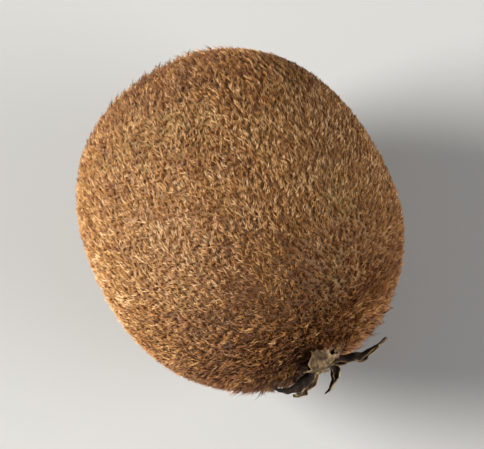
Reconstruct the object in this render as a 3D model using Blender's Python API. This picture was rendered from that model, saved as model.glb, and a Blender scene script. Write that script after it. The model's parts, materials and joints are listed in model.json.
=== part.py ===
"""A kiwifruit lying on its flatter side, with its dried sepals and its dried styles.

The long axis runs along X, and the stem end points to +X. The origin is in the small flat spot
that the fruit rests on, straight under its widest section. Metres, +Z up.
"""

import math
import random
from typing import NamedTuple

import bmesh
import bpy
from mathutils import Matrix, Vector, noise

MM = 0.001

# The fruit without its hair.
WIDTH = 52 * MM
THICKNESS = 49 * MM
STEM_HALF = 27.5 * MM  # from the widest section to the stem end
BLOSSOM_HALF = 29.5 * MM  # from the widest section to the blossom end
SPOT_DEPTH = 0.3 * MM  # how much the flat spot takes off the bottom
SIDES = 56
RINGS_PER_HALF = 19

HALF_WIDTH = WIDTH / 2
FLATNESS = THICKNESS / WIDTH
AXIS_HEIGHT = THICKNESS / 2 - SPOT_DEPTH

SEAT_GAP = 0.3 * MM  # between a piece and the skin that it sits in or lies over

# The calyx: the woody scar of the stalk, with five dried sepals round it.
SCAR_RADIUS = 3.6 * MM
SCAR_HEIGHT = 1.5 * MM
PIT_RADIUS = 1.1 * MM
PLUG_RADIUS = 4.2 * MM
SCAR_SIDES = 24
SEPAL_THICKNESS = 0.7 * MM
SEPAL_ROOT = 2.9 * MM  # where a sepal starts, from the axis, inside the scar's lip
SEPAL_RISE = 0.62 * MM  # how high it starts over the end's tip
SEPAL_STEPS = 11
SEPAL_COLUMNS = (-1.0, -0.5, 0.0, 0.5, 1.0)

# The style crown: a hard boss at the blossom end that carries the dried styles.
BOSS_RADIUS = 2.6 * MM
BOSS_HEIGHT = 0.8 * MM
BOSS_SIDES = 20
STYLE_COUNT = 26
STYLE_LENGTHS = (1.9 * MM, 3.1 * MM)
STYLE_RADII = (0.34 * MM, 0.21 * MM)  # at the root and at the tip
STYLE_STEPS = 3
GOLDEN_ANGLE = math.radians(137.5)


class End(NamedTuple):
    """One half of the fruit. Fullness 2 makes an ellipse, and more makes a blunter end."""

    half_length: float
    fullness: float
    socket_radius: float
    socket_depth: float


STEM_END = End(STEM_HALF, 2.2, PLUG_RADIUS + SEAT_GAP, 1.2 * MM)
BLOSSOM_END = End(BLOSSOM_HALF, 2.35, BOSS_RADIUS + SEAT_GAP, 1.0 * MM)


class Lump(NamedTuple):
    """A gentle wave of the skin: turns round the fruit, waves along it, start and height."""

    turns: int
    waves: float
    start: float
    height: float


LUMPS = (
    Lump(2, 0.55, 0.4, 0.20 * MM),
    Lump(3, 0.80, 2.3, 0.22 * MM),
    Lump(4, 0.35, 4.4, 0.14 * MM),
    Lump(1, 1.10, 5.3, 0.18 * MM),
)
CALM_RADIUS = 11 * MM  # the lumps fade this near the flat spot, which would move it


class Sepal(NamedTuple):
    """Angles in degrees. Bearing is from +Y towards the underside, and sweep adds to it at the tip.

    The blade leaves its root at the first slope, bends towards the second and ends at the third: 90
    stands straight off the fruit's end. Roll is how far each half curls over, below zero towards the
    skin. A small taper narrows the blade early.
    """

    bearing: float
    length: float
    half_width: float
    slopes: tuple
    roll: float
    twist: float
    sweep: float
    taper: float


SEPALS = (
    Sepal(2, 9.2 * MM, 2.3 * MM, (42, 0, -10), 150, -35, 0, 0.60),
    Sepal(60, 6.2 * MM, 1.15 * MM, (42, 42, 30), 105, -10, 125, 3.0),
    Sepal(148, 5.4 * MM, 1.7 * MM, (38, 24, -6), 95, 20, 8, 2.0),
    Sepal(196, 6.8 * MM, 2.4 * MM, (44, 4, -44), 165, -60, -6, 1.4),
    Sepal(270, 9.2 * MM, 3.2 * MM, (82, -24, -60), -38, 6, 0, 2.6),
)
CRUMPLE = 0.55 * MM  # how far a dried sepal's folds push it out of its smooth form
FOLD = 2.1 * MM  # how far apart its folds are
CRUMPLE_SEED = 7  # for the pattern of the folds
GUTTER = 55  # degrees: a tight roll is made as an open gutter of the same width
NARROWEST = 0.35 * MM  # half the width of a rolled tip


def linear(code):
    """The linear colour of an sRGB hex code."""
    parts = [int(code[i : i + 2], 16) / 255 for i in (0, 2, 4)]
    return [p / 12.92 if p <= 0.04045 else ((p + 0.055) / 1.055) ** 2.4 for p in parts]


def material(name, code, roughness):
    made = bpy.data.materials.new(name)
    made.use_nodes = True
    shader = made.node_tree.nodes["Principled BSDF"]
    shader.inputs["Base Color"].default_value = (*linear(code), 1.0)
    shader.inputs["Roughness"].default_value = roughness
    shader.inputs["Metallic"].default_value = 0.0
    return made


def new_object(name, bm, collection=None):
    """An object made from bm, which is freed, with its faces turned outwards."""
    bmesh.ops.recalc_face_normals(bm, faces=bm.faces)
    mesh = bpy.data.meshes.new(name)
    bm.to_mesh(mesh)
    bm.free()
    made = bpy.data.objects.new(name, mesh)
    (collection or bpy.context.scene.collection).objects.link(made)
    return made


def finish(piece, surface, sharp_degrees):
    piece.data.materials.clear()
    piece.data.materials.append(surface)
    piece.data.shade_smooth()
    piece.data.set_sharp_from_angle(angle=math.radians(sharp_degrees))


def turned(profile, axis, sides):
    """A closed shape made by spinning profile, which starts and ends on the axis."""
    bm = bmesh.new()
    verts = [bm.verts.new(point) for point in profile]
    for first, second in zip(verts, verts[1:]):
        bm.edges.new((first, second))
    bmesh.ops.spin(
        bm,
        geom=bm.verts[:] + bm.edges[:],
        cent=(0, 0, 0),
        axis=axis,
        angle=2 * math.pi,
        steps=sides,
        use_merge=True,
    )
    bmesh.ops.remove_doubles(bm, verts=bm.verts, dist=0.001 * MM)
    return bm


def flatten(bm, axis):
    """Presses a round shape to the fruit's thickness along X, Y or Z."""
    factors = Vector((1, 1, 1))
    factors[axis] = FLATNESS
    bmesh.ops.scale(bm, vec=factors, verts=bm.verts)


def half_profile(end):
    """From the middle of the end's socket to the widest section, as (distance, radius)."""
    floor = end.half_length - end.socket_depth
    points = [(floor, 0.0), (floor, end.socket_radius)]
    rim = math.asin((end.socket_radius / HALF_WIDTH) ** (end.fullness / 2))
    for ring in range(RINGS_PER_HALF + 1):
        angle = rim + (math.pi / 2 - rim) * ring / RINGS_PER_HALF
        distance = end.half_length * abs(math.cos(angle)) ** (2 / end.fullness)
        radius = HALF_WIDTH * math.sin(angle) ** (2 / end.fullness)
        points.append((distance, radius))
    return points


def skin_drop(end, radius):
    """How far the skin has fallen back from the end's tip, this far from the axis."""
    share = (radius / HALF_WIDTH) ** end.fullness
    return end.half_length * (1 - (1 - share) ** (1 / end.fullness))


def lump_height(place):
    """How far the skin is raised here, none near the flat spot and the ends."""
    radius = math.hypot(place.y, place.z)
    angle = math.atan2(place.z, place.y)
    length = STEM_HALF + BLOSSOM_HALF
    raised = 0.0
    for lump in LUMPS:
        along = 2 * math.pi * lump.waves * place.x / length
        raised += lump.height * math.sin(lump.turns * angle + along + lump.start)
    spot = Vector((0, 0, -HALF_WIDTH))
    calm = 1 - math.exp(-(((place - spot).length / CALM_RADIUS) ** 2))
    return raised * calm * radius / HALF_WIDTH


def make_fruit():
    """The flesh and skin, one solid, with a shallow socket at each end and a flat spot below."""
    stem = [(x, 0, -radius) for x, radius in half_profile(STEM_END)]
    blossom = [(-x, 0, -radius) for x, radius in half_profile(BLOSSOM_END)]
    bm = turned(stem + blossom[-2::-1], (1, 0, 0), SIDES)
    for vert in bm.verts:
        outwards = Vector((0, vert.co.y, vert.co.z))
        if outwards.length > 0:
            vert.co += outwards.normalized() * lump_height(vert.co)
    flatten(bm, 2)
    bmesh.ops.bisect_plane(
        bm,
        geom=bm.verts[:] + bm.edges[:] + bm.faces[:],
        plane_co=(0, 0, -AXIS_HEIGHT),
        plane_no=(0, 0, 1),
        clear_inner=True,
    )
    rim = [edge for edge in bm.edges if edge.is_boundary]
    bmesh.ops.holes_fill(bm, edges=rim, sides=len(rim))
    fruit = new_object("fruit", bm)
    fruit.location = (0, 0, AXIS_HEIGHT)
    finish(fruit, material("kiwifruit skin", "845a36", 0.85), 40)
    return fruit


def joined(name, core, collection):
    """The core joined with everything in the collection, which is then removed."""
    union = core.modifiers.new("union", "BOOLEAN")
    union.operation = "UNION"
    union.operand_type = "COLLECTION"
    union.collection = collection
    union.solver = "MANIFOLD"  # EXACT leaves touching edges where ragged sepals cross
    bpy.context.view_layer.update()
    evaluated = core.evaluated_get(bpy.context.evaluated_depsgraph_get())
    mesh = bpy.data.meshes.new_from_object(evaluated)
    mesh.name = name
    core.modifiers.remove(union)
    core.data = mesh
    for piece in list(collection.objects):
        bpy.data.objects.remove(piece)
    bpy.data.collections.remove(collection)
    return core


def helper_collection(name):
    made = bpy.data.collections.new(name)
    bpy.context.scene.collection.children.link(made)
    return made


def stalk_scar():
    """The woody end of the stalk: a plug in the socket, a raised lip and a central pit."""
    profile = (
        (0, -0.9 * MM),
        (PLUG_RADIUS, -0.9 * MM),
        (PLUG_RADIUS, 0.05 * MM),
        (SCAR_RADIUS, 0.4 * SCAR_HEIGHT),
        (0.92 * SCAR_RADIUS, 0.85 * SCAR_HEIGHT),
        (0.84 * SCAR_RADIUS, SCAR_HEIGHT),
        (0.70 * SCAR_RADIUS, 0.92 * SCAR_HEIGHT),
        (0.56 * SCAR_RADIUS, 0.45 * SCAR_HEIGHT),
        (PIT_RADIUS, 0.35 * SCAR_HEIGHT),
        (0.85 * PIT_RADIUS, -0.3 * MM),
        (0, -0.4 * MM),
    )
    bm = turned([(0, radius, height) for radius, height in profile], (0, 0, 1), SCAR_SIDES)
    flatten(bm, 0)
    return bm


def sepal_width(sepal, share):
    """Half the flat width, this share of the way to the tip."""
    return sepal.half_width * max(0.22, (1 - share**sepal.taper) ** 0.6)


def sepal_slope(sepal, share):
    """The blade's slope in radians, this share of the way to the tip."""
    root, half_way, tip = sepal.slopes
    blend = root * (1 - share) ** 2 + 2 * half_way * share * (1 - share) + tip * share**2
    return math.radians(blend)


def lowest_height(place):
    """How low the middle of a sepal's thickness can be here, clear of the skin."""
    radius = math.hypot(place.x / FLATNESS, place.y)
    return SEAT_GAP + SEPAL_THICKNESS / 2 + 0.1 * MM - skin_drop(STEM_END, radius)


def sepal_sheet(sepal):
    """One dried sepal as a sheet: it rises from the scar's lip, bends, sweeps, rolls and crumples."""
    bearing = math.radians(sepal.bearing)
    roll = math.radians(sepal.roll)
    gutter = math.radians(max(-GUTTER, min(GUTTER, sepal.roll)))
    outwards = Vector((math.sin(bearing), math.cos(bearing), 0))
    sideways = Vector((math.cos(bearing), -math.sin(bearing), 0))
    up = Vector((0, 0, 1))
    spine = SEPAL_ROOT * outwards + SEPAL_RISE * up
    stride = sepal.length / SEPAL_STEPS
    bm = bmesh.new()
    rows = []
    for step in range(SEPAL_STEPS + 1):
        share = step / SEPAL_STEPS
        pitch = sepal_slope(sepal, share)
        swept = Matrix.Rotation(-math.radians(sepal.sweep) * share**0.5, 3, "Z")
        forward = swept @ outwards
        normal = math.cos(pitch) * up - math.sin(pitch) * forward
        along = math.cos(pitch) * forward + math.sin(pitch) * up
        turn = Matrix.Rotation(math.radians(sepal.twist) * share, 3, along)
        roll_radius = abs(sepal_width(sepal, share) / roll)
        half_span = max(NARROWEST, roll_radius * math.sin(min(abs(roll), math.pi / 2)))
        radius = half_span / math.sin(gutter)
        raised = 0.7 * roll_radius if abs(roll) > math.pi / 2 else 0.0
        row = []
        for column in SEPAL_COLUMNS:
            across = radius * math.sin(column * gutter) * (swept @ sideways)
            lift = (raised + radius * (1 - math.cos(column * gutter))) * normal
            place = spine + turn @ (across + lift)
            place += CRUMPLE * min(1, 3 * share) * noise.noise_vector(place / FOLD)
            place.z = max(place.z, lowest_height(place))
            row.append(bm.verts.new(place))
        rows.append(row)
        spine = spine + stride * along
    for first, second in zip(rows, rows[1:]):
        for left in range(len(SEPAL_COLUMNS) - 1):
            bm.faces.new((first[left], first[left + 1], second[left + 1], second[left]))
    bmesh.ops.triangulate(bm, faces=bm.faces)
    return bm


def make_calyx():
    """The stalk scar and the five dried sepals round it, grown together."""
    noise.seed_set(CRUMPLE_SEED)
    sepals = helper_collection("sepals")
    for number, sepal in enumerate(SEPALS):
        sheet = new_object(f"sepal_{number}", sepal_sheet(sepal), sepals)
        solid = sheet.modifiers.new("thickness", "SOLIDIFY")
        solid.thickness = SEPAL_THICKNESS
        solid.offset = 0
    calyx = joined("calyx", new_object("calyx", stalk_scar()), sepals)
    calyx.location = (STEM_HALF, 0, AXIS_HEIGHT)
    calyx.rotation_euler = (0, math.radians(90), 0)
    finish(calyx, material("dried sepal", "5a4630", 0.8), 35)
    return calyx


def boss():
    """The hard point at the blossom end: a low dome in its socket."""
    profile = (
        (0, -0.7 * MM),
        (BOSS_RADIUS, -0.7 * MM),
        (BOSS_RADIUS, 0.05 * MM),
        (0.85 * BOSS_RADIUS, 0.5 * MM),
        (0.45 * BOSS_RADIUS, BOSS_HEIGHT),
        (0, BOSS_HEIGHT),
    )
    return turned([(0, radius, height) for radius, height in profile], (0, 0, 1), BOSS_SIDES)


def style_solid(number, rng):
    """One dried style: a thin four-sided stub that rises from the boss and bends outwards."""
    share = (number + 0.5) / STYLE_COUNT
    bearing = number * GOLDEN_ANGLE + rng.uniform(-0.2, 0.2)
    outwards = Vector((math.cos(bearing), math.sin(bearing), 0))
    up = Vector((0, 0, 1))
    sideways = up.cross(outwards)
    place = 0.72 * BOSS_RADIUS * math.sqrt(share) * outwards + 0.25 * MM * up
    pitch = math.radians(82 - 42 * share + rng.uniform(-8, 8))
    bend = math.radians(rng.uniform(22, 40))
    stride = rng.uniform(*STYLE_LENGTHS) / STYLE_STEPS
    bm = bmesh.new()
    rings = []
    for step in range(STYLE_STEPS + 1):
        along = math.cos(pitch) * outwards + math.sin(pitch) * up
        normal = along.cross(sideways)
        radius = STYLE_RADII[0] + (STYLE_RADII[1] - STYLE_RADII[0]) * step / STYLE_STEPS
        corners = (sideways, normal, -sideways, -normal)
        rings.append([bm.verts.new(place + radius * corner) for corner in corners])
        place = place + stride * along
        pitch -= bend / STYLE_STEPS
    for first, second in zip(rings, rings[1:]):
        for side in range(4):
            after = (side + 1) % 4
            bm.faces.new((first[side], first[after], second[after], second[side]))
    bm.faces.new(rings[0])
    bm.faces.new(rings[-1])
    return bm


def make_style_crown():
    """The boss at the blossom end and the dried styles on it, grown together."""
    rng = random.Random(11)
    styles = helper_collection("styles")
    for number in range(STYLE_COUNT):
        new_object(f"style_{number}", style_solid(number, rng), styles)
    crown = joined("style_crown", new_object("style_crown", boss()), styles)
    crown.location = (-BLOSSOM_HALF, 0, AXIS_HEIGHT)
    crown.rotation_euler = (0, math.radians(-90), 0)
    finish(crown, material("dried style", "3a2a1c", 0.8), 40)
    return crown


def main():
    for old in list(bpy.data.objects):
        bpy.data.objects.remove(old)
    rest = bpy.data.objects.new("kiwifruit", None)
    rest.empty_display_size = 10 * MM
    bpy.context.scene.collection.objects.link(rest)
    for piece in (make_fruit(), make_calyx(), make_style_crown()):
        piece.parent = rest


main()
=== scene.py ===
# %% [markdown]
# # Dressing a kiwifruit
#
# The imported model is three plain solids: the fruit, its calyx and its style crown. This lesson gives
# them what the eye expects of a real one: a dull corky skin under thousands of short golden bristles,
# brittle sepals curled round the stalk scar, and a tuft of dried styles at the other end.
#
# The frame keeps every piece in one place, in metres. The long axis runs along X, the stem end points
# to +X, and the fruit rests at height zero. Each new piece is made where it belongs, so nothing is
# moved afterwards.

import json
import math
import random
from typing import NamedTuple

import bmesh
import bpy
from mathutils import Matrix, Vector, noise

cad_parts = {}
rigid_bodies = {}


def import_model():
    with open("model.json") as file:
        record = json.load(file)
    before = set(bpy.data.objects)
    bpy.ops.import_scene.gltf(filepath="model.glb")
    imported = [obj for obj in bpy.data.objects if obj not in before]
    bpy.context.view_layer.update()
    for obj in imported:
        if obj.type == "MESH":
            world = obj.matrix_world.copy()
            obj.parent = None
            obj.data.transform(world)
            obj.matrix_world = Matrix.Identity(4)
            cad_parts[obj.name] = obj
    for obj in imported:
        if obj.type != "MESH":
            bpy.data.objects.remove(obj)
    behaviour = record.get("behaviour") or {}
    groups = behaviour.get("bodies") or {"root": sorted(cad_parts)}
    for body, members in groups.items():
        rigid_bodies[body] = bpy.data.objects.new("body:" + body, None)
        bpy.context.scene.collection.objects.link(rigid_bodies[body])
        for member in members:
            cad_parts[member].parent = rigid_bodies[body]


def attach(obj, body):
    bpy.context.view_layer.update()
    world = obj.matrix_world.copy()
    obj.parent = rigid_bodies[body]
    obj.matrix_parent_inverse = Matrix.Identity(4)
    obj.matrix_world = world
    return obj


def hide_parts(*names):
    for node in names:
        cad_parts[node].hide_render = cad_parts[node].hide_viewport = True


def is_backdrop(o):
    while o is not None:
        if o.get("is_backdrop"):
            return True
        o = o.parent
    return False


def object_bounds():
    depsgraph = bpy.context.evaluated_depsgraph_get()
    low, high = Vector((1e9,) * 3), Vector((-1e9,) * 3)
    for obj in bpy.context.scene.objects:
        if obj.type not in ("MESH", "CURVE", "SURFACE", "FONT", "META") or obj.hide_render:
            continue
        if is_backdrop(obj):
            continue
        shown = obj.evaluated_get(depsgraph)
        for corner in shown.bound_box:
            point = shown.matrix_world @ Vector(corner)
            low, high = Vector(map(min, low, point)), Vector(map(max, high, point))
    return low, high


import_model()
cad_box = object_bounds()
MM = 0.001
print("CAD box in mm:", [[round(c / MM, 2) for c in corner] for corner in cad_box])

# %% [markdown]
# ## A few small helpers
#
# Every material and every Geometry Nodes tree below is a handful of nodes, so one function adds a node,
# sets it up and links it. A sum often takes several nodes, one after the other, and another function
# adds those from a list of steps. Colours are written as the hex codes that a paint program shows.
# Blender mixes light in linear numbers, so each code is converted once. Spots, streaks and painted shade
# darken a finish by multiplying its tones, and a last function gives it those tones and a fine relief.


# %% Helpers for nodes and colours
def linear(code):
    """The linear colour, with full opacity, of an sRGB hex code."""
    parts = [int(code[i : i + 2], 16) / 255 for i in (1, 3, 5)]
    return [p / 12.92 if p <= 0.04045 else ((p + 0.055) / 1.055) ** 2.4 for p in parts] + [1.0]


def feed(tree, node, inputs):
    """Sets or links inputs of a node. A node given as a value lends its first output."""
    for key, value in inputs.items():
        if isinstance(key, int):
            socket = node.inputs[key]
        else:
            socket = next(s for s in node.inputs if s.enabled and s.name == key)
        if isinstance(value, bpy.types.Node):
            value = next(s for s in value.outputs if s.enabled)
        if isinstance(value, bpy.types.NodeSocket):
            tree.links.new(value, socket)
        else:
            socket.default_value = value


def add(tree, kind, inputs=None, stops=(), **settings):
    """Adds a node with these settings, and feeds its inputs.

    The stops of a colour ramp are pairs of place and hex code.
    """
    node = tree.nodes.new(kind)
    for name, value in settings.items():
        setattr(node, name, value)
    for number, (place, code) in enumerate(stops):
        elements = node.color_ramp.elements
        element = elements[number] if number < 2 else elements.new(place)
        element.position = place
        element.color = linear(code)
    feed(tree, node, inputs or {})
    return node


def chain(tree, kind, value, *steps):
    """Adds nodes of one kind in a row, each working on what the one before gives.

    A step is an operation, then the inputs after the first.
    """
    for operation, *others in steps:
        value = add(tree, kind, dict(enumerate((value, *others))), operation=operation)
    return value


def new_material(name, roughness):
    """A material and its tree, with the shader's own roughness set."""
    made = bpy.data.materials.new(name)
    made.use_nodes = True
    shader = made.node_tree.nodes["Principled BSDF"]
    shader.inputs["Roughness"].default_value = roughness
    return made, made.node_tree, shader


# A mix with these settings multiplies colours, so it darkens A where B is dark.
DARKEN = {"data_type": "RGBA", "blend_type": "MULTIPLY"}


def cover(tree, shader, tones, relief, depth, strength):
    """Gives the shader its colours, and a bump as deep as the relief."""
    bump = add(tree, "ShaderNodeBump", {"Height": relief, "Distance": depth, "Strength": strength})
    feed(tree, shader, {"Base Color": tones, "Normal": bump})


# %% [markdown]
# ## Camera, floor and light
#
# The fruit is seen from above and a little from its stem end, with its long axis slanting down to the
# right. A long lens from more than half a metre away keeps the outline from bulging, as in a packshot.
# The three axes of the camera are written out here as directions in the frame: it's easier to match an
# axis seen in a picture that way than with angles.
#
# The light is soft and comes from low on the left of the picture. A wider one on the right and a pale
# surrounding fill the shadows. Light that grazes the bristles is what makes them look like fur. Both
# lamps stand well away, so the floor is lit evenly on every side.

# %% Camera
ELEVATION = math.radians(74)
AXIS_SLANT = math.radians(30)  # from straight down in the picture, towards the right
DISTANCE = 0.60
LENS = 260

away = Vector((math.cos(ELEVATION), 0, math.sin(ELEVATION)))
along_axis = Vector((math.sin(ELEVATION), 0, -math.cos(ELEVATION)))
across = Vector((0, 1, 0))
picture_right = math.sin(AXIS_SLANT) * along_axis + math.cos(AXIS_SLANT) * across
picture_up = away.cross(picture_right)
middle = (cad_box[0] + cad_box[1]) / 2

camera = bpy.data.objects.new("camera", bpy.data.cameras.new("camera"))
bpy.context.scene.collection.objects.link(camera)
camera.matrix_world = Matrix.Translation(middle + DISTANCE * away) @ (
    Matrix((picture_right, picture_up, away)).transposed().to_4x4()
)
camera.data.lens = LENS
camera.data.clip_start = 0.01
bpy.context.scene.camera = camera
print("camera at", [round(c, 3) for c in camera.location])


# %% Floor and lights
def soft_light(name, direction, distance, size, power, code="#ffffff"):
    """A round lamp that shines on the fruit from this way: right, up and towards the camera."""
    data = bpy.data.lights.new(name, "AREA")
    data.shape = "DISK"
    data.size = size
    data.energy = power
    data.color = linear(code)[:3]
    right, up, towards = direction
    place = (right * picture_right + up * picture_up + towards * away).normalized()
    lamp = bpy.data.objects.new(name, data)
    bpy.context.scene.collection.objects.link(lamp)
    lamp.location = middle + distance * place
    lamp.rotation_euler = place.to_track_quat("Z", "Y").to_euler()
    return lamp


soft_light("key", (-0.93, 0.16, 0.32), 1.50, 0.80, 76.0, "#fffdf9")
soft_light("fill", (0.92, -0.16, 0.48), 1.50, 1.30, 43.0, "#fffdfb")

world = bpy.data.worlds.new("studio")
world.use_nodes = True
world.node_tree.nodes["Background"].inputs["Color"].default_value = linear("#f2f1ef")
world.node_tree.nodes["Background"].inputs["Strength"].default_value = 0.23
bpy.context.scene.world = world
bpy.context.scene.view_settings.view_transform = "Standard"

floor_shape = bmesh.new()
bmesh.ops.create_grid(floor_shape, x_segments=1, y_segments=1, size=2.0)
floor_mesh = bpy.data.meshes.new("floor")
floor_shape.to_mesh(floor_mesh)
floor_shape.free()
floor = bpy.data.objects.new("floor", floor_mesh)
bpy.context.scene.collection.objects.link(floor)
paper, _, paper_shader = new_material("matt paper backdrop", 0.9)
paper_shader.inputs["Base Color"].default_value = linear("#9a9a99")
floor_mesh.materials.append(paper)
floor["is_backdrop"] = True
print("floor and two lights are in place")

# %% [markdown]
# ## Running a Geometry Nodes tree
#
# Three things here follow a rule: the skin's form, the coat of bristles that covers it, and the styles
# that spiral round their boss. Geometry Nodes suit all three, because a tree with named inputs can be
# read and changed size by size. A tree needs an object to run on. This helper lends it one, sets its
# inputs before anything is evaluated, and keeps the result as a plain mesh.


# %% Helper for Geometry Nodes
def new_tree(name, **inputs):
    """A Geometry Nodes tree with these names of inputs of each kind, and what its input node gives."""
    tree = bpy.data.node_groups.new(name, "GeometryNodeTree")
    tree.interface.new_socket("Geometry", in_out="OUTPUT", socket_type="NodeSocketGeometry")
    tree.interface.new_socket("Geometry", in_out="INPUT", socket_type="NodeSocketGeometry")
    for kind, labels in inputs.items():
        for label in labels:
            tree.interface.new_socket(label, in_out="INPUT", socket_type="NodeSocket" + kind)
    return tree, tree.nodes.new("NodeGroupInput").outputs


def grown(name, tree, mesh, values):
    """A plain piece: the tree's result on mesh, with the tree's named inputs set to values."""
    piece = bpy.data.objects.new(name, mesh)
    bpy.context.scene.collection.objects.link(piece)
    modifier = piece.modifiers.new(tree.name, "NODES")
    modifier.node_group = tree
    for item in tree.interface.items_tree:
        if item.in_out == "INPUT" and item.name in values:
            modifier[item.identifier] = values[item.name]
    depsgraph = bpy.context.evaluated_depsgraph_get()
    result = bpy.data.meshes.new_from_object(
        piece.evaluated_get(depsgraph), preserve_all_data_layers=True, depsgraph=depsgraph
    )
    piece.modifiers.remove(modifier)
    piece.data = result
    result.name = name
    result.calc_loop_triangles()
    print(name, "has", len(result.loop_triangles), "triangles")
    return piece


# %% [markdown]
# ## The skin's material
#
# Under its bristles a kiwifruit has a thin brown skin of dead corky cells, tough and quite without
# shine. It isn't one brown: greener where the flesh shows through, redder and darker in blotches a
# centimetre wide. It is also freckled with pores less than half a millimetre across. Two noises in
# Object coordinates give both scales, so the pattern stays fixed to the fruit from every side.

# %% Material: corky skin
# Cork is matt because its surface is broken up: a high roughness and a fine bump, with no clear gloss.
cork, tree, shader = new_material("corky kiwifruit skin", 0.78)
place = add(tree, "ShaderNodeTexCoord").outputs["Object"]
BLOTCH = 11 * MM
PORE = 0.42 * MM
GRAIN = 0.25 * MM
blotches = add(tree, "ShaderNodeTexNoise", {"Vector": place, "Scale": 1 / BLOTCH, "Detail": 4.0})
brown_stops = ((0.30, "#563819"), (0.50, "#6f4b25"), (0.70, "#685428"))
browns = add(tree, "ShaderNodeValToRGB", {"Fac": blotches}, brown_stops)
pores = add(tree, "ShaderNodeTexVoronoi", {"Vector": place, "Scale": 1 / PORE})
pore_stops = ((0.10, "#6e5a4a"), (0.45, "#ffffff"))
pore_shade = add(tree, "ShaderNodeValToRGB", {"Fac": pores}, pore_stops)
grain = add(tree, "ShaderNodeTexNoise", {"Vector": place, "Scale": 1 / GRAIN, "Detail": 3.0})
freckled = add(tree, "ShaderNodeMix", {"Factor": 0.8, "A": browns, "B": pore_shade}, **DARKEN)
cover(tree, shader, freckled, grain, depth=0.06 * MM, strength=0.8)
print("skin: blotches", BLOTCH / MM, "mm, pores", PORE / MM, "mm")

# %% [markdown]
# ## The skin's form
#
# The fruit grew from one rule: each half is a rounded end, a little blunter than an ellipse, pressed
# slightly flat, with low waves round it. A sphere's faces would bunch at its poles, and the calyx sits
# right on one. So the tree starts from a cube cut into even squares, and pushes each corner out to the
# rounded form. The same sizes made the solid, so the skin lies on it. The tree then adds what the solid
# leaves out: dents a few millimetres wide, fine puckers that run in towards both ends, and the shallow
# socket that the stalk's scar sits in.

# %% Sizes that the fruit grew to
HALF_WIDTH = 26 * MM
FLATNESS = 49 / 52
AXIS_HEIGHT = 24.2 * MM
STEM_HALF = 27.5 * MM
BLOSSOM_HALF = 29.5 * MM
STEM_FULLNESS = 2.2
BLOSSOM_FULLNESS = 2.35
CALM_RADIUS = 11 * MM  # the waves fade this near the spot that the fruit rests on
WAVES = (  # turns round the fruit, waves along it, start, height
    (2, 0.55, 0.4, 0.20 * MM),
    (3, 0.80, 2.3, 0.22 * MM),
    (4, 0.35, 4.4, 0.14 * MM),
    (1, 1.10, 5.3, 0.18 * MM),
)

# %% Geometry Nodes: the rounded form
tree, given = new_tree(
    "rounded fruit",
    Int=("Cuts",),
    Float=(
        "Half width", "Stem half", "Blossom half", "Stem fullness", "Blossom fullness", "Flatness",
        "Axis height", "Calm radius", "Socket radius", "Socket floor", "Socket depth",
        "Dent", "Pucker",
    ),
    Material=("Skin",),
)
cuts = given["Cuts"]
cube = add(
    tree, "GeometryNodeMeshCube",
    {"Size": (2, 2, 2), "Vertices X": cuts, "Vertices Y": cuts, "Vertices Z": cuts},
)
corner = add(tree, "GeometryNodeInputPosition")
# The tangent keeps the cube's squares about equal once they are on the sphere.
eighth = 3 * (math.pi / 4,)
way = chain(tree, "ShaderNodeVectorMath", corner, ("MULTIPLY", eighth), ("TANGENT",), ("NORMALIZE",))
way_parts = add(tree, "ShaderNodeSeparateXYZ", {0: way})
off_length = chain(tree, "ShaderNodeVectorMath", way, ("MULTIPLY", (0, 1, 1)), ("LENGTH",))
stemward = add(tree, "ShaderNodeMath", {0: way_parts.outputs["X"], 1: 0.0}, operation="GREATER_THAN")
half, fullness = (
    add(
        tree, "GeometryNodeSwitch",
        {"Switch": stemward, "False": given["Blossom " + size], "True": given["Stem " + size]},
        input_type="FLOAT",
    )
    for size in ("half", "fullness")
)
width_power = chain(
    tree, "ShaderNodeMath", off_length, ("DIVIDE", given["Half width"]), ("POWER", fullness)
)
root = add(tree, "ShaderNodeMath", {0: -1.0, 1: fullness}, operation="DIVIDE")
reach = chain(
    tree, "ShaderNodeMath", way_parts.outputs["X"], ("ABSOLUTE",),
    ("DIVIDE", half), ("POWER", fullness), ("ADD", width_power), ("POWER", root),
)
smooth_place = add(tree, "ShaderNodeVectorMath", {0: way, "Scale": reach}, operation="SCALE")
x, y, z = add(tree, "ShaderNodeSeparateXYZ", {0: smooth_place}).outputs
turn = add(tree, "ShaderNodeMath", {0: z, 1: y}, operation="ARCTAN2")
raised = 0.0
for turns, waves, start, height in WAVES:
    swing = add(tree, "ShaderNodeMath", {0: turn, 1: turns, 2: start}, operation="MULTIPLY_ADD")
    per_metre = 2 * math.pi * waves / (STEM_HALF + BLOSSOM_HALF)
    raised = chain(
        tree, "ShaderNodeMath", x, ("MULTIPLY_ADD", per_metre, swing),
        ("SINE",), ("MULTIPLY_ADD", height, raised),
    )
spot = add(tree, "ShaderNodeCombineXYZ", {"Z": -HALF_WIDTH})
from_spot = add(tree, "ShaderNodeVectorMath", {0: smooth_place, 1: spot}, operation="DISTANCE")
spot_share = add(tree, "ShaderNodeMath", {0: from_spot, 1: given["Calm radius"]}, operation="DIVIDE")
faded = chain(
    tree, "ShaderNodeMath", spot_share, ("MULTIPLY", spot_share),
    ("MULTIPLY", -1.0), ("EXPONENT",),
)
calm = add(tree, "ShaderNodeMath", {0: 1.0, 1: faded}, operation="SUBTRACT")
raised_share = chain(
    tree, "ShaderNodeMath", raised, ("MULTIPLY", calm), ("DIVIDE", given["Half width"])
)
outward = add(tree, "ShaderNodeVectorMath", {0: smooth_place, 1: (0, 1, 1)}, operation="MULTIPLY")
lumped = add(
    tree, "ShaderNodeVectorMath",
    {0: outward, 1: raised_share, 2: smooth_place},
    operation="MULTIPLY_ADD",
)
pressing = add(tree, "ShaderNodeCombineXYZ", {"X": 1.0, "Y": 1.0, "Z": given["Flatness"]})
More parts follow.
